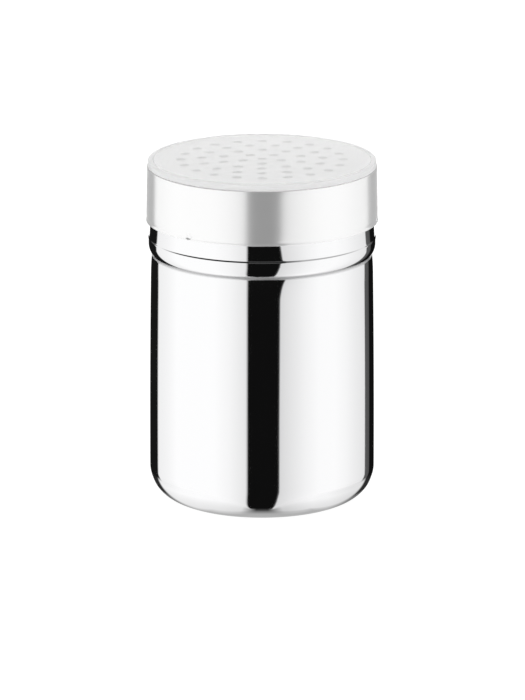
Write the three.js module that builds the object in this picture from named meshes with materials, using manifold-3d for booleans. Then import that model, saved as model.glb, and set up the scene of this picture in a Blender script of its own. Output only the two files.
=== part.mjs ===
// Spice shaker: a deep-drawn steel cup, a press-on perforated steel lid and a soft dust cover.
// Millimetres, +Z up, origin at the middle of the base, the front of the shaker along -Y.
import * as THREE from 'three';
import { mergeVertices } from 'three/addons/utils/BufferGeometryUtils.js';
import Module from 'manifold-3d';

const { degToRad } = THREE.MathUtils;
const wasm = await Module();
wasm.setup();

// Shared fits
const clearance = 0.3;
const cutOverrun = 0.8;
const mergeDistance = 0.001;

// Cup: its other outer radii follow from the neck's, and a bend is given by its inner radius
const cupSheet = 0.5;
const neckRadius = 33.65;
const neckFlare = 0.28;
const neckLedge = 0.07;
const beadProud = 0.5;
const bodyProud = 0.32;
const wallDraft = 0.46;
const creaseDepth = 0.45;
const baseBend = 9.9;

// Cup heights: the wall's from the table, then each rise from the level below it
const wallHeight = 69.3;
const shoulderTurnRise = 4.5;
const shoulderRise = 6.6;
const beadTurnRise = 1.3;
const beadCrownRise = 3.3;
const beadRise = 5.2;
const neckFlareRise = 6.4;
const neckRise = 20.5;

// Lid: a bend is given by its inner radius
const lidSheet = 0.45;
const lidSkirtHeight = 16.35;
const lidDraft = 0.25;
const lidShoulderBend = 0.4;
const lidLipHeight = 0.7;
const lidLipProud = 0.1;
const lidCreaseDepth = 0.06;
const lidCreaseHeight = 0.8;
const bossBend = 0.1;
const crownHeight = 0.3;

// Shaker holes: rings about one hole in the middle, each ring with five more than the one inside it
const holeDiameter = 3;
const holePitch = 6.07;
const holeRings = 4;
const holesPerRingStep = 5;

// Dimples that grip the neck, pressed in across the lid's lower lip
const dimpleCount = 3;
const dimpleDepth = 0.3;
const dimpleWidth = 2.6;
const dimpleHeight = 1;
const dimpleAzimuth = degToRad(-38.7);

// Dust cover: one moulded wall all over
const coverWall = 0.8;
const coverInset = 0.25;
const coverLipHeight = 1.7;
const coverEdgeRadius = 0.45;

// Facets
const roundFacets = 60;
const holeFacets = 12;
const baseSteps = 5;
const cornerSteps = 3;
const wallSteps = 3;
const bendSteps = 4;
const flareSteps = 2;
const crownSteps = 3;

// Radii and seats that follow from the sizes above
const neckFootRadius = neckRadius + neckFlare;
const beadRadius = neckRadius + beadProud;
const bodyRadius = neckRadius + bodyProud;
const shoulderRadius = bodyRadius - wallDraft;
const creaseRadius = shoulderRadius - creaseDepth;
const lidRadius = neckRadius + clearance + dimpleDepth + lidSheet;
const lidTopRadius = lidRadius - lidDraft;
const coverRadius = lidTopRadius - coverInset;
const bossRadius = coverRadius - coverWall - clearance;
const creaseHeight = wallHeight + shoulderRise;
const neckHeight = creaseHeight + beadRise;
const mouthHeight = neckHeight + neckRise;
const ledgeHeight = mouthHeight + clearance + lidSheet;
const lidRimHeight = ledgeHeight - lidSkirtHeight;
const bossTopHeight = ledgeHeight + coverLipHeight - coverWall;
const coverLipFoot = ledgeHeight + clearance;
const coverTopHeight = coverLipFoot + coverLipHeight;

// A closed geometry becomes a solid once its shared corners are merged
function toSolid(geometry) {
  const bare = geometry.clone();
  bare.deleteAttribute('normal');
  bare.deleteAttribute('uv');
  const merged = mergeVertices(bare);
  const corners = merged.index.array;
  const kept = [];
  for (let i = 0; i < corners.length; i += 3) {
    const [a, b, c] = corners.slice(i, i + 3);
    if (a !== b && b !== c && c !== a) kept.push(a, b, c);
  }
  const vertProperties = new Float32Array(merged.attributes.position.array);
  const triVerts = new Uint32Array(kept);
  return new wasm.Manifold(new wasm.Mesh({ numProp: 3, vertProperties, triVerts }));
}

function toGeometry(solid) {
  const mesh = solid.getMesh();
  const geometry = new THREE.BufferGeometry();
  geometry.setAttribute('position', new THREE.BufferAttribute(new Float32Array(mesh.vertProperties), 3));
  geometry.setIndex(new THREE.BufferAttribute(new Uint32Array(mesh.triVerts), 1));
  geometry.computeVertexNormals();
  return geometry;
}

// The profile's x is the radius and its y the height; the turned shape stands on +Z
function revolve(profile) {
  const geometry = new THREE.LatheGeometry(profile, roundFacets);
  geometry.rotateX(Math.PI / 2);
  return geometry;
}

// Points of an outline without the ones that double where two curves meet
function outlinePoints(pieces) {
  const points = pieces.flatMap(([curve, steps]) => curve.getPoints(steps));
  return points.filter((point, i) => i === 0 || point.distanceTo(points[i - 1]) > mergeDistance);
}

function line(x0, y0, x1, y1) {
  return [new THREE.LineCurve(new THREE.Vector2(x0, y0), new THREE.Vector2(x1, y1)), 1];
}

function bend(x0, y0, xc, yc, x1, y1, steps = bendSteps) {
  const [start, control, end] = [[x0, y0], [xc, yc], [x1, y1]].map(([x, y]) => new THREE.Vector2(x, y));
  return [new THREE.QuadraticBezierCurve(start, control, end), steps];
}

function corner(x, y, radius, fromAngle, toAngle, steps = cornerSteps) {
  return [new THREE.EllipseCurve(x, y, radius, radius, fromAngle, toAngle), steps];
}

// Inner face of a sheet: each outline point moved square to its two edges by the sheet's thickness.
// The outline runs with the outside on its right, and stays upright where it meets the axis.
function innerFace(outline, sheet) {
  const square = (from, to) => {
    const along = to.clone().sub(from).normalize();
    return new THREE.Vector2(-along.y, along.x);
  };
  return outline.map((point, i) => {
    const before = i > 0 ? square(outline[i - 1], point) : null;
    const after = i < outline.length - 1 ? square(point, outline[i + 1]) : null;
    const first = before ?? after;
    const second = after ?? before;
    const mitre = first.clone().add(second).divideScalar(1 + first.dot(second));
    if (point.x === 0) mitre.set(0, Math.sign(mitre.y));
    return point.clone().addScaledVector(mitre, sheet);
  });
}

// Low crown from a flat disc's edge up to the axis
function crown(edgeRadius, edgeHeight) {
  const top = edgeHeight + crownHeight;
  return bend(edgeRadius, edgeHeight, edgeRadius / 2, top, 0, top, crownSteps);
}

// Body of the cup: flat base, large drawn corner, slightly bowed wall and a shoulder down into the crease
function bodyOutline() {
  const base = baseBend + cupSheet;
  const bowHeight = (base + wallHeight) / 2;
  const turnHeight = wallHeight + shoulderTurnRise;
  return [
    line(0, 0, bodyRadius - base, 0),
    corner(bodyRadius - base, base, base, -Math.PI / 2, 0, baseSteps),
    bend(bodyRadius, base, bodyRadius, bowHeight, shoulderRadius, wallHeight, wallSteps),
    bend(shoulderRadius, wallHeight, shoulderRadius, turnHeight, creaseRadius, creaseHeight, wallSteps),
  ];
}

// Bead with a narrow ledge on top, and the neck, which flares a little towards the ledge
function neckOutline(topHeight) {
  const crownLevel = creaseHeight + beadCrownRise;
  const ledgeLevel = neckHeight - neckLedge;
  const ledgeRadius = neckFootRadius + neckLedge;
  const flareTop = neckHeight + neckFlareRise;
  return [
    bend(creaseRadius, creaseHeight, beadRadius, creaseHeight + beadTurnRise, beadRadius, crownLevel),
    bend(beadRadius, crownLevel, beadRadius, (crownLevel + ledgeLevel) / 2, ledgeRadius, ledgeLevel),
    line(ledgeRadius, ledgeLevel, neckFootRadius, neckHeight),
    bend(neckFootRadius, neckHeight, neckRadius, (neckHeight + flareTop) / 2, neckRadius, flareTop, flareSteps),
    line(neckRadius, flareTop, neckRadius, topHeight),
  ];
}

// Cup: one sheet from the base to a rounded mouth
function cupProfile() {
  const lip = cupSheet / 2;
  const outline = outlinePoints([...bodyOutline(), ...neckOutline(mouthHeight - lip)]);
  const mouth = outlinePoints([corner(neckRadius - lip, mouthHeight - lip, lip, 0, Math.PI)]);
  return [...outline, ...mouth.slice(1, -1), ...innerFace(outline, cupSheet).reverse()];
}

// Lower lip of the lid: it stands proud of the skirt, under a narrow crease
function lidLip() {
  const lipRadius = lidRadius + lidLipProud;
  const lipTop = lidRimHeight + lidLipHeight;
  const lipTurn = lipTop - lidLipProud;
  return outlinePoints([
    line(lipRadius, lidRimHeight, lipRadius, lipTurn),
    line(lipRadius, lipTurn, lidRadius - lidCreaseDepth, lipTop),
  ]);
}

// Lid outline from the foot of the skirt over the shoulder, the ledge and the raised plate to the axis
function lidOutline(footHeight) {
  const shoulder = lidShoulderBend + lidSheet;
  const edge = bossBend + lidSheet;
  return outlinePoints([
    line(lidRadius, footHeight, lidTopRadius, ledgeHeight - shoulder),
    corner(lidTopRadius - shoulder, ledgeHeight - shoulder, shoulder, 0, Math.PI / 2),
    line(lidTopRadius - shoulder, ledgeHeight, bossRadius, ledgeHeight),
    line(bossRadius, ledgeHeight, bossRadius, bossTopHeight - edge),
    corner(bossRadius - edge, bossTopHeight - edge, edge, 0, Math.PI / 2),
    crown(bossRadius - edge, bossTopHeight),
  ]);
}

// Centres of the shaker holes, the first of each ring at the front
function holeCentres() {
  const centres = [new THREE.Vector2(0, 0)];
  for (let ring = 1; ring <= holeRings; ring += 1) {
    const count = ring * holesPerRingStep;
    for (let i = 0; i < count; i += 1) {
      const turn = (2 * Math.PI * i) / count;
      centres.push(new THREE.Vector2(Math.sin(turn), -Math.cos(turn)).multiplyScalar(ring * holePitch));
    }
  }
  return centres;
}

// One punch for each hole, long enough to pass the crowned plate
function holePunches() {
  const low = bossTopHeight - lidSheet - cutOverrun;
  const high = bossTopHeight + crownHeight + cutOverrun;
  const punch = new THREE.CylinderGeometry(holeDiameter / 2, holeDiameter / 2, high - low, holeFacets);
  punch.rotateX(Math.PI / 2);
  return holeCentres().map(({ x, y }) => toSolid(punch.clone().translate(x, y, (low + high) / 2)));
}

// Ball whose cap is as wide as the dimple where it has sunk in by the dimple's depth
function dimpleBall(turn, growth) {
  const radius = ((dimpleWidth / 2) ** 2 + dimpleDepth ** 2) / (2 * dimpleDepth);
  const reach = lidRadius - dimpleDepth + radius;
  const ball = new THREE.SphereGeometry(radius + growth, holeFacets * 2, holeFacets);
  return toSolid(ball.translate(reach * Math.sin(turn), -reach * Math.cos(turn), lidRimHeight + dimpleHeight));
}

// Lid: pressed sheet with dimples through its lower lip and the pattern of holes in its raised plate
function lidSolid() {
  const outer = [...lidLip(), ...lidOutline(lidRimHeight + lidLipHeight + lidCreaseHeight)];
  const inner = innerFace(lidOutline(lidRimHeight), lidSheet);
  const filled = toSolid(revolve([new THREE.Vector2(0, lidRimHeight), ...outer]));
  let lid = toSolid(revolve([...inner.reverse(), ...outer]));
  for (let i = 0; i < dimpleCount; i += 1) {
    const turn = dimpleAzimuth + (2 * Math.PI * i) / dimpleCount;
    lid = lid.add(dimpleBall(turn, lidSheet).intersect(filled));
    lid = lid.subtract(dimpleBall(turn, 0));
  }
  return holePunches().reduce((rest, punch) => rest.subtract(punch), lid);
}

// Dust cover: a lip that stands on the lid's ledge, round the raised plate, and a crowned top over it
function coverProfile() {
  const edgeInner = coverRadius - coverEdgeRadius;
  const outer = outlinePoints([
    line(coverRadius, coverLipFoot, coverRadius, coverTopHeight - coverEdgeRadius),
    corner(edgeInner, coverTopHeight - coverEdgeRadius, coverEdgeRadius, 0, Math.PI / 2),
    crown(edgeInner, coverTopHeight),
  ]);
  const square = outlinePoints([
    line(coverRadius, coverLipFoot, coverRadius, coverTopHeight),
    crown(coverRadius, coverTopHeight),
  ]);
  return [...innerFace(square, coverWall).reverse(), ...outer];
}

function part(name, geometry, finish) {
  const mesh = new THREE.Mesh(geometry, new THREE.MeshStandardMaterial(finish));
  mesh.name = name;
  return mesh;
}

const mirrorSteel = { color: 0xd9d9da, roughness: 0.05, metalness: 1 };
const satinSteel = { color: 0xd2d2d2, roughness: 0.38, metalness: 1 };
const frostedPlastic = { color: 0xebebeb, roughness: 0.55, metalness: 0 };

const shaker = new THREE.Group();
shaker.add(part('cup', revolve(cupProfile()), mirrorSteel));
shaker.add(part('perforated_lid', toGeometry(lidSolid()), satinSteel));
shaker.add(part('dust_cover', revolve(coverProfile()), frostedPlastic));

export default shaker;
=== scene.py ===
"""Dresses the spice shaker: a mirror-polished steel cup, a satin perforated lid and a frosted dust cover.

Every length is in metres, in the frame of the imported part: +Z up, the middle of the base at the origin.
"""

import logging
from dataclasses import dataclass, field
from enum import Enum
from math import cos, degrees, pi, radians, sin, tau

import bpy
import numpy as np
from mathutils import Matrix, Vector
from mathutils.geometry import delaunay_2d_cdt

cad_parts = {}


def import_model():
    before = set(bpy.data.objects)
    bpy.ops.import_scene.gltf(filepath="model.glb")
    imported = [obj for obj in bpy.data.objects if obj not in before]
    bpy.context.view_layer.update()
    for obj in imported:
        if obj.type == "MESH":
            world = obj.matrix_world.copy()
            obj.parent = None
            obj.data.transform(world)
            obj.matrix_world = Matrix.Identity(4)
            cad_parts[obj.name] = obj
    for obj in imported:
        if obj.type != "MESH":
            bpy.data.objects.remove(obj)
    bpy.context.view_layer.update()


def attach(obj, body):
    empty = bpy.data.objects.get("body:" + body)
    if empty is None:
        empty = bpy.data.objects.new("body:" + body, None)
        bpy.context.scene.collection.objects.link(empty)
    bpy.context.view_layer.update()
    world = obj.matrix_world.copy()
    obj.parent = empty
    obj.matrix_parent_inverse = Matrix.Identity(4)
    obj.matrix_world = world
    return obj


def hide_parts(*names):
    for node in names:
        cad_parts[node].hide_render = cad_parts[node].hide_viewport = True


MM = 0.001
FULL_TURN = 360.0
# Points closer together than this are one point.
WELD = 1e-7
# Edges that turn by more than this stay sharp.
SHARP_ANGLE = radians(35)
LOG = logging.getLogger("shaker")
Array = np.ndarray
Socket = bpy.types.NodeSocket


class Body(Enum):
    """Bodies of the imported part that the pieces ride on."""

    CUP = "cup"
    LID = "lid"
    COVER = "cover"


class Slot(Enum):
    """Material slots of the record."""

    MIRROR_STEEL = "mirror_steel"
    SATIN_STEEL = "satin_steel"
    FROSTED_PLASTIC = "frosted_plastic"


def bend(start: tuple, control: tuple, end: tuple, steps: int) -> Array:
    """Quadratic curve: (1-t)^2 start + 2t(1-t) control + t^2 end.

    Args:
        start: First point, radius and height.
        control: Control point.
        end: Last point.
        steps: Number of stretches.

    Returns:
        Points of the curve, steps + 1 rows.
    """
    t = np.linspace(0.0, 1.0, steps + 1)[:, None]
    first, middle, last = (np.array(point, dtype=float) for point in (start, control, end))
    return (1 - t) ** 2 * first + 2 * t * (1 - t) * middle + t**2 * last


def corner(centre: tuple, radius: float, from_angle: float, to_angle: float, steps: int) -> Array:
    """Arc: centre + radius times (cos, sin) of an angle that runs evenly between its two ends.

    Args:
        centre: Centre, radius and height.
        radius: Radius of the arc.
        from_angle: Angle of the first point, in radians.
        to_angle: Angle of the last point.
        steps: Number of stretches.

    Returns:
        Points of the arc, steps + 1 rows.
    """
    angle = np.linspace(from_angle, to_angle, steps + 1)
    return np.array(centre) + radius * np.stack([np.cos(angle), np.sin(angle)], axis=1)


def line(start: tuple, end: tuple, steps: int) -> Array:
    """Straight stretch from start to end, cut into even steps."""
    return np.linspace(np.array(start, dtype=float), np.array(end, dtype=float), steps + 1)


def step(start: tuple, end: tuple, steps: int) -> Array:
    """Soft step: height runs evenly, and radius goes over by (1 - cos(pi t)) / 2 of the way.

    Args:
        start: First point, radius and height.
        end: Last point.
        steps: Number of stretches.

    Returns:
        Points of the step, steps + 1 rows.
    """
    t = np.linspace(0.0, 1.0, steps + 1)
    over = (1 - np.cos(pi * t)) / 2
    return np.stack([start[0] + (end[0] - start[0]) * over, start[1] + (end[1] - start[1]) * t], axis=1)


def joined(pieces: list[Array]) -> Array:
    """Stretches put end to end, without the points that double where two meet.

    Args:
        pieces: The stretches, in order.

    Returns:
        Their points, as many rows.
    """
    points = np.concatenate(pieces)
    gap = np.linalg.norm(np.diff(points, axis=0), axis=1)
    return points[np.concatenate([[True], gap > WELD])]


def inner_face(outline: Array, sheet: float) -> Array:
    """Each point moved to its left by the sheet, along the mitre of its two edges' normals.

    Args:
        outline: Outer face, radius and height, with the outside on its right.
        sheet: Thickness.

    Returns:
        The inner face, as many points as the outline.
    """
    along = np.diff(outline, axis=0)
    along /= np.linalg.norm(along, axis=1)[:, None]
    square = np.stack([-along[:, 1], along[:, 0]], axis=1)
    before = np.concatenate([square[:1], square])
    after = np.concatenate([square, square[-1:]])
    mitre = (before + after) / (1 + np.sum(before * after, axis=1))[:, None]
    on_axis = outline[:, 0] < WELD
    mitre[on_axis] = np.stack([np.zeros(on_axis.sum()), np.sign(mitre[on_axis, 1])], axis=1)
    return outline + sheet * mitre


def even_turns(count: int) -> Array:
    """Angles evenly spaced round the axis, the first at the front."""
    return np.linspace(0.0, tau, count, endpoint=False)


def circle(turns: Array) -> Array:
    """Points of a circle of radius 1 seen from above: (sin a, -cos a) for each angle a."""
    return np.stack([np.sin(turns), -np.cos(turns)], axis=1)


def revolve(profile: Array, turns: Array) -> Array:
    """Surface of revolution: (r sin a, -r cos a, z) for each profile point (r, z) and each angle a.

    Args:
        profile: Points, radius and height.
        turns: Angles.

    Returns:
        Array of profile points by angles by 3.
    """
    radius, height = profile[:, 0][:, None], profile[:, 1][:, None]
    x = radius * np.sin(turns)
    y = -radius * np.cos(turns)
    return np.stack([x, y, np.broadcast_to(height, x.shape)], axis=2)


@dataclass
class Shell:
    """Mesh under construction: blocks of vertices and triangles, joined at the end."""

    vertices: list[Array] = field(default_factory=list)
    triangles: list[Array] = field(default_factory=list)

    def add(self, vertices: Array, triangles: Array) -> None:
        """Adds one block.

        Args:
            vertices: Its vertices.
            triangles: Its triangles, which count from its own first vertex.
        """
        start = sum(len(block) for block in self.vertices)
        self.vertices.append(np.asarray(vertices, dtype=float))
        self.triangles.append(np.asarray(triangles, dtype=np.int64) + start)

    def add_grid(self, points: Array) -> None:
        """Adds a grid that closes round the axis, as two triangles a cell.

        Args:
            points: Array of rows by columns by 3, seen from outside with rows up and columns to the right.
        """
        rows, columns = points.shape[:2]
        number = np.arange(rows * columns).reshape(rows, columns)
        number = np.concatenate([number, number[:, :1]], axis=1)
        low_left, low_right = number[:-1, :-1].ravel(), number[:-1, 1:].ravel()
        high_left, high_right = number[1:, :-1].ravel(), number[1:, 1:].ravel()
        triangles = np.concatenate([
            np.stack([low_left, low_right, high_right], axis=1),
            np.stack([low_left, high_right, high_left], axis=1),
        ])
        self.add(points.reshape(-1, 3), triangles)

    def to_object(self, name: str, sharp_angle: float = SHARP_ANGLE) -> bpy.types.Object:
        """Welds the blocks, drops what has collapsed and makes a smooth-shaded object at the origin.

        Args:
            name: Name of the object.
            sharp_angle: Edges that turn by more than this stay sharp, in radians.

        Returns:
            The object, linked to the scene.
        """
        vertices = np.concatenate(self.vertices)
        triangles = np.concatenate(self.triangles)
        cells = np.round(vertices / WELD).astype(np.int64)
        _, first, same = np.unique(cells, axis=0, return_index=True, return_inverse=True)
        triangles = same.reshape(-1)[triangles]
        a, b, c = triangles.T
        triangles = triangles[(a != b) & (b != c) & (c != a)]
        mesh = bpy.data.meshes.new(name)
        mesh.from_pydata(vertices[first], [], triangles)
        mesh.shade_smooth()
        mesh.set_sharp_from_angle(angle=sharp_angle)
        mesh.validate()
        piece = bpy.data.objects.new(name, mesh)
        bpy.context.scene.collection.objects.link(piece)
        return piece


def grey(level: float) -> tuple[float, float, float, float]:
    """Opaque grey of one level."""
    return (level, level, level, 1.0)


class Nodes:
    """Short hand for building one material or world tree."""

    def __init__(self, tree: bpy.types.NodeTree) -> None:
        """Starts from an empty tree."""
        tree.nodes.clear()
        self.tree = tree

    def add(self, kind: str, values: dict | None = None, **settings: object) -> bpy.types.Node:
        """Adds a node.

        Args:
            kind: Node type.
            values: Input names or numbers, with a plain value or a socket to link.
            settings: Attributes of the node.

        Returns:
            The node.
        """
        node = self.tree.nodes.new(kind)
        for key, value in settings.items():
            setattr(node, key, value)
        for key, value in (values or {}).items():
            if isinstance(value, Socket):
                self.tree.links.new(value, node.inputs[key])
            else:
                node.inputs[key].default_value = value
        return node

    def math(self, operation: str, *values: object) -> Socket:
        """Adds a Math node and returns its result."""
        return self.add("ShaderNodeMath", dict(enumerate(values)), operation=operation).outputs[0]

    def blend(self, factor: object, a: object, b: object, way: str = "MIX") -> Socket:
        """Adds a node that mixes two colours.

        Args:
            factor: Share of the second colour.
            a: First colour.
            b: Second colour.
            way: Blend type.

        Returns:
            The mixture.
        """
        mix = self.add("ShaderNodeMix", {0: factor, 6: a, 7: b}, data_type="RGBA", blend_type=way)
        return mix.outputs[2]

    def ramp(self, value: Socket, low: float, high: object,
             to_low: float = 0.0, to_high: object = 1.0) -> Socket:
        """Adds a clamped Map Range node from low..high to to_low..to_high and returns its result."""
        return self.add("ShaderNodeMapRange", {
            "Value": value, "From Min": low, "From Max": high, "To Min": to_low, "To Max": to_high,
        }).outputs[0]

    def noise(self, place: Socket, scale: float, detail: float) -> Socket:
        """Adds a Noise Texture node and returns its value."""
        noise = self.add("ShaderNodeTexNoise", {"Vector": place, "Scale": scale, "Detail": detail})
        return noise.outputs[0]

    def radius(self, x: Socket, y: Socket) -> Socket:
        """Adds nodes for the distance from the axis, the root of x^2 + y^2, and returns it."""
        squares = self.math("ADD", self.math("MULTIPLY", x, x), self.math("MULTIPLY", y, y))
        return self.math("SQRT", squares)

    def turn(self, x: Socket, y: Socket) -> Socket:
        """Adds nodes for the turn round +Z from the front, atan2(x, -y).

        Args:
            x: Distance to the right.
            y: Distance to the back.

        Returns:
            The turn in degrees, positive to the right.
        """
        turn = self.math("ARCTAN2", x, self.math("MULTIPLY", y, -1.0))
        return self.math("MULTIPLY", turn, degrees(1.0))

    def levels(self, turn: Socket, stops: tuple) -> Socket:
        """Adds a ramp of light levels over the turn, with the front in the ramp's middle.

        Args:
            turn: Turn from the front, in degrees.
            stops: Pairs of a turn and a level, in order.

        Returns:
            The level, as a grey colour.
        """
        middle = 0.5
        share = self.math("MULTIPLY_ADD", turn, 1 / FULL_TURN, middle)
        ramp = self.add("ShaderNodeValToRGB", {"Fac": share})
        elements = ramp.color_ramp.elements
        while len(elements) < len(stops):
            elements.new(middle)
        for element, (stop, level) in zip(elements, stops):
            element.position = stop / FULL_TURN + middle
            element.color = grey(level)
        return ramp.outputs[0]


def new_material(name: str) -> tuple[bpy.types.Material, Nodes, Socket]:
    """Starts a material.

    Args:
        name: Name of the material.

    Returns:
        The material, its nodes and the place on the piece, in Object coordinates.
    """
    material = bpy.data.materials.new(name)
    material.use_nodes = True
    n = Nodes(material.node_tree)
    return material, n, n.add("ShaderNodeTexCoord").outputs["Object"]


@dataclass(frozen=True)
class MirrorSteel:
    """Mirror-polished stainless steel, with faint polishing lines round the axis and a few smudges.

    The polish doesn't reach down into the crease under the bead, which is dull; shade is painted there as a
    darker grey tint.
    """

    crease: float
    crease_core: float = 0.25 * MM
    crease_reach: float = 0.8 * MM
    crease_painted_shade: tuple = (0.55, 0.55, 0.555, 1.0)
    crease_rough: float = 0.5
    tint: tuple = (0.735, 0.735, 0.74, 1.0)
    smooth: float = 0.025
    dull: float = 0.07
    line_scales: tuple = (30.0, 30.0, 9000.0)
    line_detail: float = 3.0
    smudge_scale: float = 60.0
    smudge_detail: float = 4.0
    wear_low: float = 0.1
    wear_high: float = 0.5

    def material(self) -> bpy.types.Material:
        """Builds the material.

        Returns:
            The material.
        """
        material, n, place = new_material("mirror_steel")
        height = n.add("ShaderNodeSeparateXYZ", {"Vector": place}).outputs[2]
        lines = n.add("ShaderNodeMapping", {"Vector": place, "Scale": self.line_scales}).outputs[0]
        polish = n.noise(lines, 1.0, self.line_detail)
        smudge = n.noise(place, self.smudge_scale, self.smudge_detail)
        wear = n.math("MULTIPLY", polish, smudge)
        away = n.math("ABSOLUTE", n.math("SUBTRACT", height, self.crease))
        dull_and_shaded = n.ramp(away, self.crease_core, self.crease_reach, 1.0, 0.0)
        polished = n.ramp(wear, self.wear_low, self.wear_high, self.smooth, self.dull)
        rough = n.math("MAXIMUM", polished, n.math("MULTIPLY", dull_and_shaded, self.crease_rough))
        # Painted shade: the crease's colour is a darker grey than the polished steel's.
        tone = n.blend(dull_and_shaded, self.tint, self.crease_painted_shade)
        shader = n.add("ShaderNodeBsdfPrincipled", {
            "Base Color": tone, "Metallic": 1.0, "Roughness": rough,
        })
        n.add("ShaderNodeOutputMaterial", {"Surface": shader.outputs[0]})
        return material


@dataclass(frozen=True)
class SatinSteel:
    """Satin stainless steel, brushed round the axis, so that light spreads up and down.

    Under the top of the plate, so inside its punched holes, shade is painted into the steel as a
    darker colour. The top's height is that of its edge + crown (1 - (r / R)^2).
    """

    plate_radius: float
    plate_height: float
    crown: float
    hole_shade_depth: float = 0.06 * MM
    hole_shade_reach: float = 0.12 * MM
    painted_hole_shade: tuple = grey(0.5)
    tint: tuple = grey(0.76)
    metal: float = 0.68
    smooth: float = 0.2
    rough: float = 0.26
    brushing: float = 0.5
    brush_turn: float = 0.25
    brush_along: float = 60.0
    brush_across: float = 9000.0
    brush_detail: float = 4.0
    brush_low: float = 0.3
    brush_high: float = 0.7
    groove: float = 0.03
    groove_depth: float = 0.02 * MM
    sheen: float = 0.68
    sheen_rough: float = 0.5

    def material(self) -> bpy.types.Material:
        """Builds the material.

        Returns:
            The material.
        """
        material, n, place = new_material("satin_steel")
        x, y, z = n.add("ShaderNodeSeparateXYZ", {"Vector": place}).outputs
        radius = n.radius(x, y)
        grain = n.add("ShaderNodeCombineXYZ", {
            "X": n.math("MULTIPLY", x, self.brush_along),
            "Y": n.math("MULTIPLY", y, self.brush_along),
            "Z": n.math("MULTIPLY", n.math("ADD", radius, z), self.brush_across),
        }).outputs[0]
        lines = n.noise(grain, 1.0, self.brush_detail)
        rough = n.ramp(lines, self.brush_low, self.brush_high, self.smooth, self.rough)
        bump = n.add("ShaderNodeBump", {
            "Height": lines, "Strength": self.groove, "Distance": self.groove_depth,
        }).outputs[0]
        turn = n.add("ShaderNodeTangent", direction_type="RADIAL", axis="Z").outputs[0]
        square = n.math("POWER", n.math("DIVIDE", radius, self.plate_radius), 2.0)
        fall = n.math("MULTIPLY", square, self.crown)
        depth = n.math("SUBTRACT", n.math("SUBTRACT", self.plate_height + self.crown, fall), z)
        # Painted shade: the steel's colour is darker below the plate's top, inside the holes and under the
        # plate.
        below = n.ramp(depth, self.hole_shade_depth, self.hole_shade_reach)
        painted_hole_shade = n.math("MULTIPLY", below, n.math("LESS_THAN", radius, self.plate_radius))
        shader = n.add("ShaderNodeBsdfPrincipled", {
            "Base Color": n.blend(painted_hole_shade, self.tint, self.painted_hole_shade), "Metallic": self.metal, "Roughness": rough,
            "Normal": bump, "Anisotropic": self.brushing, "Anisotropic Rotation": self.brush_turn,
            "Tangent": turn, "Sheen Weight": self.sheen, "Sheen Roughness": self.sheen_rough,
        })
        n.add("ShaderNodeOutputMaterial", {"Surface": shader.outputs[0]})
        return material


@dataclass(frozen=True)
class FrostedPlastic:
    """Natural frosted plastic: what touches its thin top shows through, and its thicker lip is milky."""

    thin_radius: float
    lip_radius: float
    tint: tuple = grey(0.985)
    cloudy: tuple = grey(0.965)
    cloud_scale: float = 90.0
    cloud_detail: float = 3.0
    clear: float = 0.84
    milky: float = 0.42
    smooth: float = 0.09
    rough: float = 0.5
    bending: float = 1.5

    def material(self) -> bpy.types.Material:
        """Builds the material.

        Returns:
            The material.
        """
        material, n, place = new_material("frosted_plastic")
        x, y, _ = n.add("ShaderNodeSeparateXYZ", {"Vector": place}).outputs
        radius = n.radius(x, y)
        clear = n.ramp(radius, self.thin_radius, self.lip_radius, self.clear, self.milky)
        rough = n.ramp(radius, self.thin_radius, self.lip_radius, self.smooth, self.rough)
        tone = n.blend(n.noise(place, self.cloud_scale, self.cloud_detail), self.tint, self.cloudy)
        shader = n.add("ShaderNodeBsdfPrincipled", {
            "Base Color": tone, "Roughness": rough, "Transmission Weight": clear, "IOR": self.bending,
        })
        n.add("ShaderNodeOutputMaterial", {"Surface": shader.outputs[0]})
        return material


@dataclass(frozen=True)
class FloorPaper:
    """White paper on a light table, with a faint fibre grain; its own glow washes out most shadow.

    From below it's clear, so that the shaker's base can be seen.
    """

    glow: float = 0.9
    rough: float = 0.9
    tint: tuple = grey(0.26)
    shade: tuple = grey(0.24)
    fibre_scale: float = 40.0
    fibre_detail: float = 4.0

    def material(self) -> bpy.types.Material:
        """Builds the material.

        Returns:
            The material.
        """
        material, n, place = new_material("floor_paper")
        tone = n.blend(n.noise(place, self.fibre_scale, self.fibre_detail), self.tint, self.shade)
        paper = n.add("ShaderNodeBsdfPrincipled", {
            "Base Color": tone, "Roughness": self.rough,
            "Emission Color": grey(1.0), "Emission Strength": self.glow,
        }).outputs[0]
        below = n.add("ShaderNodeNewGeometry").outputs["Backfacing"]
        clear = n.add("ShaderNodeBsdfTransparent").outputs[0]
        shader = n.add("ShaderNodeMixShader", {0: below, 1: paper, 2: clear})
        n.add("ShaderNodeOutputMaterial", {"Surface": shader.outputs[0]})
        return material


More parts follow.
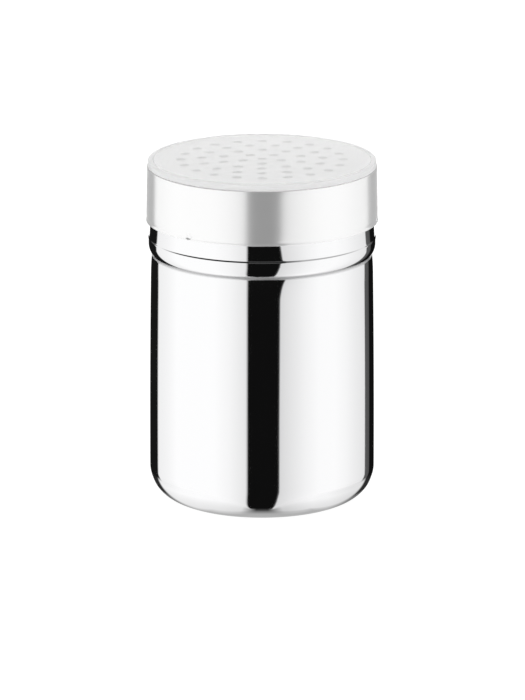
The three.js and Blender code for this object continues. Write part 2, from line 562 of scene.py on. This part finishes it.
@dataclass(frozen=True)
class FloorShade:
    """The paper round the shaker's foot as mirrors see it: light to the sides, shaded under the foot.

    With a = |x| and b = -y, the shade ends where a + b passes a bound that grows with a, and it is
    darker far to the side and towards its rim. The light part stops short of the dark gap in front
    of the shaker. It follows the levels, pairs of a turn from the front in degrees and a level, and
    is weaker near the foot. Behind the shaker the disc is clear.
    """

    levels: tuple = (
        (-100, 1.0), (-90, 1.08), (-80, 1.15), (-60, 1.31), (-42, 1.335), (-27, 1.29), (-15, 1.19),
        (0, 1.0), (12, 0.98), (15.5, 1.02), (19, 1.08), (26, 1.18), (32, 1.25), (45, 1.25), (68, 1.05),
        (82, 0.98), (95, 0.92),
    )
    near_share: float = 0.78
    near: float = 30 * MM
    far: float = 38 * MM
    shade: float = 0.55
    rim_shade: float = 0.03
    rim_start: float = 29.5 * MM
    rim_end: float = 32.5 * MM
    side_shade: float = 0.03
    side_start: float = 20 * MM
    side_end: float = 34 * MM
    bound_front: float = 32 * MM
    bound_left: float = 40.3 * MM
    bound_right: float = 41.5 * MM
    bound_turn: float = 16 * MM
    soft_in: float = -1.2 * MM
    soft_out: float = 1.8 * MM
    gap_start: float = 2 * MM
    gap_end: float = 7 * MM
    reach_front: float = 32.6 * MM
    reach_side: float = 43 * MM
    reach_start: float = 4 * MM
    reach_end: float = 34 * MM
    fade: float = 1.0 * MM
    side_fade: float = 5.0 * MM
    fade_turn: float = 14 * MM
    back_start: float = 6 * MM
    back_end: float = 16 * MM

    def material(self) -> bpy.types.Material:
        """Builds the material.

        Returns:
            The material.
        """
        material, n, place = new_material("floor_shade")
        x, y, _ = n.add("ShaderNodeSeparateXYZ", {"Vector": place}).outputs
        radius = n.radius(x, y)
        aside = n.math("ABSOLUTE", x)
        bound_side = n.ramp(x, -self.bound_turn, self.bound_turn, self.bound_left, self.bound_right)
        bound = n.ramp(aside, 0.0, self.bound_turn, self.bound_front, bound_side)
        past = n.math("SUBTRACT", n.math("SUBTRACT", aside, y), bound)
        beside = n.ramp(aside, self.gap_start, self.gap_end)
        lit = n.math("MULTIPLY", n.ramp(past, self.soft_in, self.soft_out), beside)
        side_shade = n.ramp(aside, self.side_start, self.side_end, self.shade, self.side_shade)
        rim_shade = n.ramp(radius, self.rim_start, self.rim_end, self.shade, self.rim_shade)
        shade = n.math("MINIMUM", side_shade, rim_shade)
        near = n.ramp(radius, self.near, self.far, self.near_share, 1.0)
        light = n.math("MULTIPLY", n.levels(n.turn(x, y), self.levels), near)
        tone = n.blend(lit, shade, light)
        # Painted light and painted shadow: the disc glows with these tones in place of lit and shaded
        # paper.
        paper = n.add("ShaderNodeEmission", {"Color": tone, "Strength": 1.0}).outputs[0]
        reach = n.ramp(aside, self.reach_start, self.reach_end, self.reach_front, self.reach_side)
        fade = n.ramp(aside, self.reach_start, self.fade_turn, self.fade, self.side_fade)
        behind = n.ramp(y, self.back_start, self.back_end)
        faded = n.math("MAXIMUM", n.ramp(n.math("SUBTRACT", radius, reach), 0.0, fade), behind)
        clear = n.add("ShaderNodeBsdfTransparent").outputs[0]
        shader = n.add("ShaderNodeMixShader", {0: faded, 1: paper, 2: clear})
        n.add("ShaderNodeOutputMaterial", {"Surface": shader.outputs[0]})
        return material


def dress(piece: bpy.types.Object, material: bpy.types.Material,
          body: Body, node: str) -> None:
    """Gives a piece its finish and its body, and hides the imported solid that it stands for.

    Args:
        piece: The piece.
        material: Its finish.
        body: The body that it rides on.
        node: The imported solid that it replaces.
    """
    piece.data.materials.append(material)
    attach(piece, body.value)
    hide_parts(node)


@dataclass
class Sizes:
    """Sizes that more than one piece follows: the solids' own, and the scene's contact gap."""

    clearance: float = 0.3 * MM
    contact_gap: float = 0.04 * MM
    neck_radius: float = 33.65 * MM
    wall_height: float = 69.3 * MM
    shoulder_rise: float = 6.6 * MM
    bead_rise: float = 5.2 * MM
    neck_rise: float = 20.5 * MM
    lid_sheet: float = 0.45 * MM
    lid_skirt_height: float = 16.35 * MM
    lid_draft: float = 0.25 * MM
    dimple_depth: float = 0.3 * MM
    cover_wall: float = 0.8 * MM
    cover_inset: float = 0.25 * MM
    cover_lip_height: float = 1.7 * MM
    crown_height: float = 0.3 * MM

    @property
    def crease_height(self) -> float:
        """Height of the crease between the cup's shoulder and its bead."""
        return self.wall_height + self.shoulder_rise

    @property
    def neck_height(self) -> float:
        """Height where the cup's neck starts, above the bead."""
        return self.crease_height + self.bead_rise

    @property
    def mouth_height(self) -> float:
        """Height of the cup's mouth."""
        return self.neck_height + self.neck_rise

    @property
    def ledge_height(self) -> float:
        """Height of the solid lid's ledge, under the cover's lip."""
        return self.mouth_height + self.clearance + self.lid_sheet

    @property
    def rim_height(self) -> float:
        """Height of the lid's lower edge."""
        return self.ledge_height - self.lid_skirt_height

    @property
    def lid_radius(self) -> float:
        """Outer radius of the lid's skirt."""
        return self.neck_radius + self.clearance + self.dimple_depth + self.lid_sheet

    @property
    def lid_top_radius(self) -> float:
        """Outer radius of the lid at its shoulder."""
        return self.lid_radius - self.lid_draft

    @property
    def cover_radius(self) -> float:
        """Outer radius of the cover."""
        return self.lid_top_radius - self.cover_inset

    @property
    def boss_radius(self) -> float:
        """Radius of the lid's raised plate, inside the cover's lip."""
        return self.cover_radius - self.cover_wall - self.clearance

    @property
    def cover_foot_height(self) -> float:
        """Height of the lower edge of the cover's lip."""
        return self.ledge_height + self.clearance

    @property
    def seat_height(self) -> float:
        """Height of the ledge as the scene shows it: the cover's lip all but stands on it."""
        return self.cover_foot_height - self.contact_gap

    @property
    def boss_top_height(self) -> float:
        """Height of the raised plate's edge: the cover's top all but lies on it."""
        return self.seat_height + self.cover_lip_height - self.cover_wall


@dataclass
class Cup:
    """Drawn cup: flat base, large corner, bowed wall, crease, bead, neck and rounded mouth."""

    sizes: Sizes
    sheet: float = 0.5 * MM
    neck_flare: float = 0.2 * MM
    neck_flare_rise: float = 6.4 * MM
    ledge_width: float = 0.285 * MM
    ledge_drop: float = 0.5 * MM
    ledge_rise: float = 0.15 * MM
    bead_proud: float = 0.5 * MM
    bead_turn_rise: float = 1.3 * MM
    bead_crown_rise: float = 3.3 * MM
    body_proud: float = 0.32 * MM
    wall_draft: float = 0.46 * MM
    crease_depth: float = 0.45 * MM
    shoulder_turn_rise: float = 4.5 * MM
    base_bend: float = 9.9 * MM
    columns: int = 320

    @property
    def body_radius(self) -> float:
        """Outer radius of the wall at its foot."""
        return self.sizes.neck_radius + self.body_proud

    @property
    def wall_top_radius(self) -> float:
        """Outer radius of the wall at its top, under the shoulder."""
        return self.body_radius - self.wall_draft

    @property
    def crease_radius(self) -> float:
        """Outer radius at the bottom of the crease."""
        return self.wall_top_radius - self.crease_depth

    def body(self) -> list[Array]:
        """Base, corner, wall and shoulder, up to the crease.

        Returns:
            The stretches, radius and height.
        """
        s = self.sizes
        base = self.base_bend + self.sheet
        radius = self.body_radius
        top = self.wall_top_radius
        bow = (base + s.wall_height) / 2
        turn = top - self.wall_draft * self.shoulder_turn_rise / (s.wall_height - bow)
        return [
            line((0, 0), (radius - base, 0), 2),
            corner((radius - base, base), base, -pi / 2, 0, 30),
            bend((radius, base), (radius, bow), (top, s.wall_height), 28),
            bend((top, s.wall_height), (turn, s.wall_height + self.shoulder_turn_rise),
                 (self.crease_radius, s.crease_height), 18),
        ]

    def neck(self) -> list[Array]:
        """Bead, narrow ledge and neck, up to the mouth.

        Returns:
            The stretches, radius and height.
        """
        s = self.sizes
        foot = (s.neck_radius + self.neck_flare, s.neck_height + self.ledge_rise)
        ledge = (foot[0] + self.ledge_width, s.neck_height - self.ledge_drop)
        bead = s.neck_radius + self.bead_proud
        crown = s.crease_height + self.bead_crown_rise
        turn = s.crease_height + self.bead_turn_rise
        flare = s.neck_height + self.neck_flare_rise
        return [
            bend((self.crease_radius, s.crease_height), (bead, turn), (bead, crown), 26),
            bend((bead, crown), (bead, (crown + ledge[1]) / 2), ledge, 14),
            step(ledge, foot, 12),
            bend(foot, (s.neck_radius, (foot[1] + flare) / 2), (s.neck_radius, flare), 12),
            line((s.neck_radius, flare), (s.neck_radius, s.mouth_height - self.sheet / 2), 6),
        ]

    def build(self, finish: MirrorSteel) -> bpy.types.Object:
        """Builds the cup as one closed sheet and dresses it.

        Args:
            finish: Its steel.

        Returns:
            The cup.
        """
        outline = joined(self.body() + self.neck())
        lip = self.sheet / 2
        top = (self.sizes.neck_radius - lip, self.sizes.mouth_height - lip)
        mouth = corner(top, lip, 0, pi, 8)
        profile = joined([outline, mouth, inner_face(outline, self.sheet)[::-1]])
        shell = Shell()
        shell.add_grid(revolve(profile, even_turns(self.columns)))
        piece = shell.to_object("cup_shell")
        dress(piece, finish.material(), Body.CUP, "cup")
        return piece


@dataclass
class PerforatedLid:
    """Pressed lid: proud lower lip under a crease, dimpled skirt, ledge and a raised plate with holes."""

    sizes: Sizes
    shoulder_bend: float = 0.4 * MM
    shoulder_round: float = 0.3 * MM
    lip_height: float = 0.8 * MM
    lip_proud: float = 0.1 * MM
    lip_round: float = 0.1 * MM
    lip_straight: float = 0.05 * MM
    crease_depth: float = 0.04 * MM
    crease_height: float = 0.8 * MM
    boss_bend: float = 0.1 * MM
    hole_radius: float = 1.5 * MM
    hole_pitch: float = 6.07 * MM
    hole_rings: int = 4
    holes_per_ring_step: int = 5
    hole_steps: int = 40
    burnish: float = 0.1 * MM
    dimple_count: int = 3
    dimple_radius: float = 1.4 * MM
    dimple_floor_share: float = 0.25
    dimple_height: float = 1.0 * MM
    dimple_azimuth: float = radians(-38.7)
    dimple_window: float = radians(3.5)
    dimple_columns: int = 42
    columns: int = 240

    @property
    def edge_bend(self) -> float:
        """Outer radius of the bend round the raised plate's edge."""
        return self.boss_bend + self.sizes.lid_sheet

    @property
    def plate_radius(self) -> float:
        """Radius of the plate inside that bend."""
        return self.sizes.boss_radius - self.edge_bend

    def turns(self) -> Array:
        """Angles round the axis, close together at the dimples and wide apart elsewhere.

        Returns:
            The angles, in order.
        """
        coarse = even_turns(self.columns)
        window = np.linspace(-self.dimple_window, self.dimple_window, self.dimple_columns)
        centres = self.dimple_azimuth + even_turns(self.dimple_count)
        fine = (centres[:, None] + window).ravel() % tau
        away = np.abs((coarse[:, None] - centres + pi) % tau - pi).min(axis=1)
        return np.sort(np.concatenate([coarse[away > self.dimple_window], fine]))

    def upper(self, start: tuple, shoulder: float, steps: tuple[int, int, int]) -> list[Array]:
        """Upper skirt, shoulder, ledge and the raised plate's upright edge and bend.

        Args:
            start: Radius and height of a point on the skirt.
            shoulder: Outer radius of the shoulder's bend.
            steps: Numbers of stretches of the skirt, of the shoulder and of the plate's bend.

        Returns:
            The stretches, radius and height.
        """
        s = self.sizes
        turn = s.lid_top_radius - shoulder
        edge = self.edge_bend
        return [
            line(start, (s.lid_top_radius, s.seat_height - shoulder), steps[0]),
            corner((turn, s.seat_height - shoulder), shoulder, 0, pi / 2, steps[1]),
            line((turn, s.seat_height), (s.boss_radius, s.seat_height), 2),
            line((s.boss_radius, s.seat_height), (s.boss_radius, s.boss_top_height - edge), 2),
            corner((self.plate_radius, s.boss_top_height - edge), edge, 0, pi / 2, steps[2]),
        ]

    def outer(self) -> Array:
        """Outer face from the lower edge to the raised plate's rim.

        Returns:
            Its points, radius and height.
        """
        s = self.sizes
        lip = s.lid_radius + self.lip_proud
        lip_top = s.rim_height + self.lip_height
        crease = s.lid_radius - self.crease_depth
        foot = lip_top + self.crease_height
        low = s.rim_height + self.lip_round
        high = low + self.lip_straight
        start = (s.lid_radius, foot + self.dimple_radius)
        return joined([
            corner((lip - self.lip_round, low), self.lip_round, -pi / 2, 0, 4),
            line((lip, low), (lip, high), 4),
            step((lip, high), (crease, lip_top), 8),
            step((crease, lip_top), (s.lid_radius, foot), 8),
            line((s.lid_radius, foot), start, 10),
            *self.upper(start, self.shoulder_round, (8, 8, 6)),
        ])

    def inner(self) -> Array:
        """Inner face: a plain skirt without lip and crease, moved in, to square under the plate's rim.

        Returns:
            Its points, radius and height.
        """
        s = self.sizes
        start = (s.lid_radius, s.rim_height + self.dimple_height + 2 * self.dimple_radius)
        plain = joined([
            line((s.lid_radius, s.rim_height), start, 20),
            *self.upper(start, self.shoulder_bend + s.lid_sheet, (6, 5, 4)),
        ])
        inner = inner_face(plain, s.lid_sheet)
        inner[-1] = (self.plate_radius, s.boss_top_height - s.lid_sheet)
        return inner

    def dented(self, points: Array) -> Array:
        """Pushes the skirt in at each dimple by depth times (1 + cos(pi t)) / 2.

        Here t runs from 0 at the edge of the dimple's flat floor to 1 at its own edge.

        Args:
            points: Points of the surface, the last axis x, y, z.

        Returns:
            The moved points.
        """
        s = self.sizes
        across = np.hypot(points[..., 0], points[..., 1])
        azimuth = np.arctan2(points[..., 0], -points[..., 1])
        upwards = points[..., 2] - s.rim_height - self.dimple_height
        dent = np.zeros_like(across)
        for turn in even_turns(self.dimple_count):
            centre = self.dimple_azimuth + turn
            sideways = ((azimuth - centre + pi) % tau - pi) * s.lid_radius
            distance = np.hypot(sideways, upwards) / self.dimple_radius
            wall = np.clip((distance - self.dimple_floor_share) / (1 - self.dimple_floor_share), 0.0, 1.0)
            dent += s.dimple_depth * (1 + np.cos(pi * wall)) / 2
        share = (across - dent) / across
        return np.stack([points[..., 0] * share, points[..., 1] * share, points[..., 2]], axis=-1)

    def hole_centres(self) -> Array:
        """Centres of the holes: one in the middle, then rings of 5, 10, 15 and 20 from the front on.

        Returns:
            Array of holes by 2.
        """
        rings = [np.zeros((1, 2))]
        for ring in range(1, self.hole_rings + 1):
            turns = even_turns(ring * self.holes_per_ring_step)
            rings.append(ring * self.hole_pitch * circle(turns))
        return np.concatenate(rings)

    def plate_height(self, points: Array) -> Array:
        """Height of the crowned plate: edge + crown (1 - (r / R)^2)."""
        s = self.sizes
        return s.boss_top_height + s.crown_height * (1 - np.sum(points**2, axis=-1) / self.plate_radius**2)

    def plate(self, turns: Array, hole_radius: float, drop: float) -> tuple[Array, Array]:
        """Flat pattern of the plate, triangulated in mm between its edge and its holes, then crowned.

        Args:
            turns: Angles of the edge's points.
            hole_radius: Radius of the holes in this face.
            drop: How far the face lies below the outer one.

        Returns:
            Vertices and triangles, seen from above.
        """
        edge = self.plate_radius * circle(turns)
        ring = hole_radius * circle(even_turns(self.hole_steps))
        centres = self.hole_centres()
        points = np.concatenate([edge, (centres[:, None] + ring).reshape(-1, 2)])
        starts = np.arange(len(centres))[:, None] * self.hole_steps + len(edge)
        steps = np.arange(self.hole_steps)
        around = np.stack([starts + steps, starts + (steps + 1) % self.hole_steps], axis=2).reshape(-1, 2)
        numbers = np.arange(len(edge))
        rim = np.stack([numbers, (numbers + 1) % len(edge)], axis=1)
        loops = np.concatenate([rim, around]).tolist()
        scale = 1 / MM
        merge_within = 1e-6
        flat = delaunay_2d_cdt((points * scale).tolist(), loops, [], 0, merge_within)
        made = points[[same[0] for same in flat[3]]]
        triangles = np.array(flat[2])
        middle = made[triangles].mean(axis=1)
        away = np.linalg.norm(middle[:, None] - centres, axis=2).min(axis=1)
        triangles = triangles[away > hole_radius * cos(pi / self.hole_steps)]
        a, b, c = (made[triangles[:, i]] for i in range(3))
        area = (b - a)[:, 0] * (c - a)[:, 1] - (b - a)[:, 1] * (c - a)[:, 0]
        triangles = np.where((area < 0)[:, None], triangles[:, ::-1], triangles)
        height = self.plate_height(made) - drop
        return np.concatenate([made, height[:, None]], axis=1), triangles

    def hole_walls(self) -> Array:
        """Walls of all holes as one grid a hole: lower edge, upper edge and burnished rim.

        Returns:
            Array of holes by rows by steps by 3.
        """
        ring = circle(even_turns(self.hole_steps))
        radii = np.array([self.hole_radius, self.hole_radius, self.hole_radius + self.burnish])
        drops = np.array([self.sizes.lid_sheet, self.burnish, 0.0])
        flat = self.hole_centres()[:, None, None] + radii[:, None, None] * ring
        height = self.plate_height(flat) - drops[:, None]
        return np.concatenate([flat, height[..., None]], axis=-1)

    def build(self, finish: SatinSteel) -> bpy.types.Object:
        """Builds the lid as one closed sheet and dresses it.

        Args:
            finish: Its steel.

        Returns:
            The lid.
        """
        turns = self.turns()
        skirt = joined([self.inner()[::-1], self.outer()])
        shell = Shell()
        shell.add_grid(self.dented(revolve(skirt, turns)))
        shell.add(*self.plate(turns, self.hole_radius + self.burnish, 0.0))
        vertices, triangles = self.plate(turns, self.hole_radius, self.sizes.lid_sheet)
        shell.add(vertices, triangles[:, ::-1])
        for wall in self.hole_walls():
            shell.add_grid(wall[:, ::-1])
        piece = shell.to_object("lid_shell")
        dress(piece, finish.material(), Body.LID, "perforated_lid")
        return piece


@dataclass
class DustCover:
    """Moulded dust cover: a lip round the raised plate and a crowned top."""

    sizes: Sizes
    edge_radius: float = 0.45 * MM
    crown_points: int = 25
    columns: int = 320

    def crown(self, radius: float, height: float) -> Array:
        """Low crown from the edge to the axis: height + crown (1 - (r / R)^2)."""
        r = np.linspace(radius, 0.0, self.crown_points)
        return np.stack([r, height + self.sizes.crown_height * (1 - (r / radius) ** 2)], axis=1)

    def build(self, finish: FrostedPlastic) -> bpy.types.Object:
        """Builds the cover as one closed wall and dresses it.

        Args:
            finish: Its plastic.

        Returns:
            The cover.
        """
        s = self.sizes
        foot = s.cover_foot_height
        top = foot + s.cover_lip_height
        inner_edge = s.cover_radius - self.edge_radius
        outer = joined([
            line((s.cover_radius, foot), (s.cover_radius, top - self.edge_radius), 6),
            corner((inner_edge, top - self.edge_radius), self.edge_radius, 0, pi / 2, 8),
            self.crown(inner_edge, top),
        ])
        square = joined([
            line((s.cover_radius, foot), (s.cover_radius, top), 4),
            self.crown(s.cover_radius, top),
        ])
        profile = joined([inner_face(square, s.cover_wall)[::-1], outer])
        shell = Shell()
        shell.add_grid(revolve(profile, even_turns(self.columns)))
        piece = shell.to_object("cover_shell")
        dress(piece, finish.material(), Body.COVER, "dust_cover")
        return piece


@dataclass
class Studio:
    """White set: two large soft boxes with dark gaps between them, a white backdrop and a paper floor.

    Directions are in degrees, round the shaker from the front, positive to the right, or above the
    horizon. The levels are what an upright mirror face shows for each direction round the shaker.
    """

    levels: tuple = (
        (-180, 1.35), (-169.5, 1.35), (-168.5, 0.01), (-136, 0.01), (-134, 1.13), (-112, 1.24), (-98, 1.34),
        (-50, 1.34), (-34, 1.25), (-22, 1.13), (-15.9, 1.07), (-14.7, 0.006), (16.8, 0.006), (18.0, 0.93),
        (28, 1.04), (45, 1.21), (60, 1.31), (80, 1.32), (96, 1.25), (108, 1.16), (124, 1.06), (131, 1.0),
        (132, 0.13), (143, 0.1), (144, 0.006), (167, 0.006), (168, 1.35), (180, 1.35),
    )
    camera_level: float = -14.85
    gap_taper: float = 0.7
    lean_bottom: float = -75.0
    lean_below: float = 5.5
    lean_above: float = 6.5
    lean_start: float = 4.0
    lean_full: float = 12.0
    lean_fade: float = 36.0
    lean_end: float = 70.0
    veil_start: float = 4.0
    veil_end: float = 12.0
    veil: float = 0.22
    boxes_top: float = 18.0
    ceiling_start: float = 30.0
    ceiling_left: float = 0.03
    ceiling_right: float = 0.6
    ceiling_turn_left: float = 15.0
    ceiling_turn_right: float = 40.0
    overhead_start: float = 55.0
    overhead_end: float = 66.0
    overhead: float = 1.0
    floor_start: float = -80.0
    floor_end: float = -92.0
    floor_light: float = 0.55
    ambient: float = 1.12
    sheet_drop: float = 0.02 * MM
    sheet_rings: tuple = (0.0, 0.05, 0.1, 0.4, 1.0, 2.0)
    disc_columns: int = 96

    def directions(self, n: Nodes) -> tuple[Socket, Socket]:
        """Turn and height of a direction, in degrees.

        The turn is atan2(x c^p, -y), with c the cosine of the height over its value at the camera's
        level, so a gap of constant width in it spreads towards the floor. Its right edge leans too.

        Args:
            n: The world's nodes.

        Returns:
            The turn and the height.
        """
        place = n.add("ShaderNodeTexCoord").outputs["Generated"]
        x, y, z = n.add("ShaderNodeSeparateXYZ", {"Vector": place}).outputs
        height = n.math("MULTIPLY", n.math("ARCSINE", z), degrees(1.0))
        flat = n.math("DIVIDE", n.radius(x, y), cos(radians(self.camera_level)))
        turn = n.turn(n.math("MULTIPLY", x, n.math("POWER", flat, self.gap_taper)), y)
        below = n.ramp(height, self.lean_bottom, self.camera_level, -self.lean_below, 0.0)
        above = n.ramp(height, self.camera_level, 0.0, 0.0, self.lean_above)
        start = n.ramp(turn, self.lean_start, self.lean_full)
        end = n.ramp(turn, self.lean_end, self.lean_fade)
        lean = n.math("MULTIPLY", n.math("ADD", below, above), n.math("MULTIPLY", start, end))
        return n.math("SUBTRACT", turn, lean), height

    def boxes(self, n: Nodes) -> Socket:
        """What a mirror sees: boxes and gaps under a veil, dark above, light overhead, floor below.

        Args:
            n: The world's nodes.

        Returns:
            The light as a colour.
        """
        turn, height = self.directions(n)
        veil = n.ramp(height, self.veil_start, self.veil_end, 0.0, self.veil)
        lit = n.blend(1.0, n.levels(turn, self.levels), veil, "LIGHTEN")
        below = n.ramp(height, self.floor_start, self.floor_end)
        grounded = n.blend(below, lit, grey(self.floor_light))
        ceiling = n.ramp(
            turn, self.ceiling_turn_left, self.ceiling_turn_right, self.ceiling_left, self.ceiling_right
        )
        covered = n.blend(n.ramp(height, self.boxes_top, self.ceiling_start), grounded, ceiling)
        above = n.ramp(height, self.overhead_start, self.overhead_end)
        return n.blend(above, covered, grey(self.overhead))

    def world(self) -> None:
        """Builds the world: white to the camera, soft boxes in mirrors, even light on matt faces."""
        world = bpy.data.worlds.new("studio")
        world.use_nodes = True
        bpy.context.scene.world = world
        n = Nodes(world.node_tree)
        ray = n.add("ShaderNodeLightPath").outputs
        outside = n.math("SUBTRACT", 1.0, ray["Is Transmission Ray"])
        mirrored = n.math("MULTIPLY", ray["Is Glossy Ray"], outside)
        seen = n.blend(mirrored, grey(self.ambient), self.boxes(n))
        final = n.blend(ray["Is Camera Ray"], seen, grey(1.0))
        shader = n.add("ShaderNodeBackground", {"Color": final, "Strength": 1.0})
        n.add("ShaderNodeOutputWorld", {"Surface": shader.outputs[0]})

    def disc(self, name: str, finish: FloorPaper | FloorShade, rings: tuple, mirrored: bool) -> None:
        """Builds a flat disc a hair under the shaker's base.

        Args:
            name: Name of the object.
            finish: Its finish.
            rings: Radii of its rings, from the middle outwards.
            mirrored: Whether only mirrors see it, rather than all else.
        """
        level = np.full(len(rings), -self.sheet_drop)
        profile = np.stack([rings, level], axis=1)[::-1]
        shell = Shell()
        shell.add_grid(revolve(profile, even_turns(self.disc_columns)))
        piece = shell.to_object(name, pi)
        piece.data.materials.append(finish.material())
        piece.visible_glossy = mirrored
        piece.visible_camera = not mirrored
        piece.visible_diffuse = not mirrored
        piece.visible_transmission = not mirrored
        piece.visible_shadow = not mirrored

    def floor(self, sheet: FloorPaper, shade: FloorShade) -> None:
        """Builds the floor: a lit sheet 4 m across that stays out of mirrors, and its shade in them."""
        self.disc("floor_sheet", sheet, self.sheet_rings, mirrored=False)
        self.disc("floor_shade", shade, (0.0, shade.reach_side + shade.side_fade), mirrored=True)


@dataclass
class PhotoCamera:
    """Long lens, looking a little down at the shaker."""

    distance: float = 2.0
    elevation: float = radians(14.85)
    aim_height: float = 45.3 * MM
    aim_side: float = 0.12 * MM
    pixels_per_mm: float = 3.32
    frame_pixels: float = 700.0
    sensor: float = 36.0
    clip_near: float = 0.05
    clip_far: float = 50.0

    def build(self) -> bpy.types.Object:
        """Builds the camera and makes it the scene's own.

        Returns:
            The camera.
        """
        data = bpy.data.cameras.new("camera")
        data.sensor_width = self.sensor
        data.lens = self.pixels_per_mm * (self.distance / MM) * self.sensor / self.frame_pixels
        data.clip_start = self.clip_near
        data.clip_end = self.clip_far
        camera = bpy.data.objects.new("camera", data)
        bpy.context.scene.collection.objects.link(camera)
        aim = Vector((self.aim_side, 0.0, self.aim_height))
        back = Vector((0.0, -cos(self.elevation), sin(self.elevation)))
        camera.location = aim + self.distance * back
        camera.rotation_euler = (pi / 2 - self.elevation, 0.0, 0.0)
        bpy.context.scene.camera = camera
        return camera


def main() -> None:
    """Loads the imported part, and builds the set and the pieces."""
    logging.basicConfig(level=logging.INFO, format="%(name)s: %(message)s")
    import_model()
    bpy.context.scene.view_settings.view_transform = "Standard"
    PhotoCamera().build()
    studio = Studio()
    studio.world()
    studio.floor(FloorPaper(), FloorShade())
    sizes = Sizes()
    mirror_steel = MirrorSteel(sizes.crease_height)
    satin_steel = SatinSteel(sizes.boss_radius, sizes.boss_top_height, sizes.crown_height)
    frosted_plastic = FrostedPlastic(sizes.boss_radius - sizes.cover_wall, sizes.boss_radius)
    pieces = [
        Cup(sizes).build(mirror_steel),
        PerforatedLid(sizes).build(satin_steel),
        DustCover(sizes).build(frosted_plastic),
    ]
    for piece in pieces:
        LOG.info("%s: %d triangles", piece.name, len(piece.data.polygons))


if __name__ == "__main__":
    main()
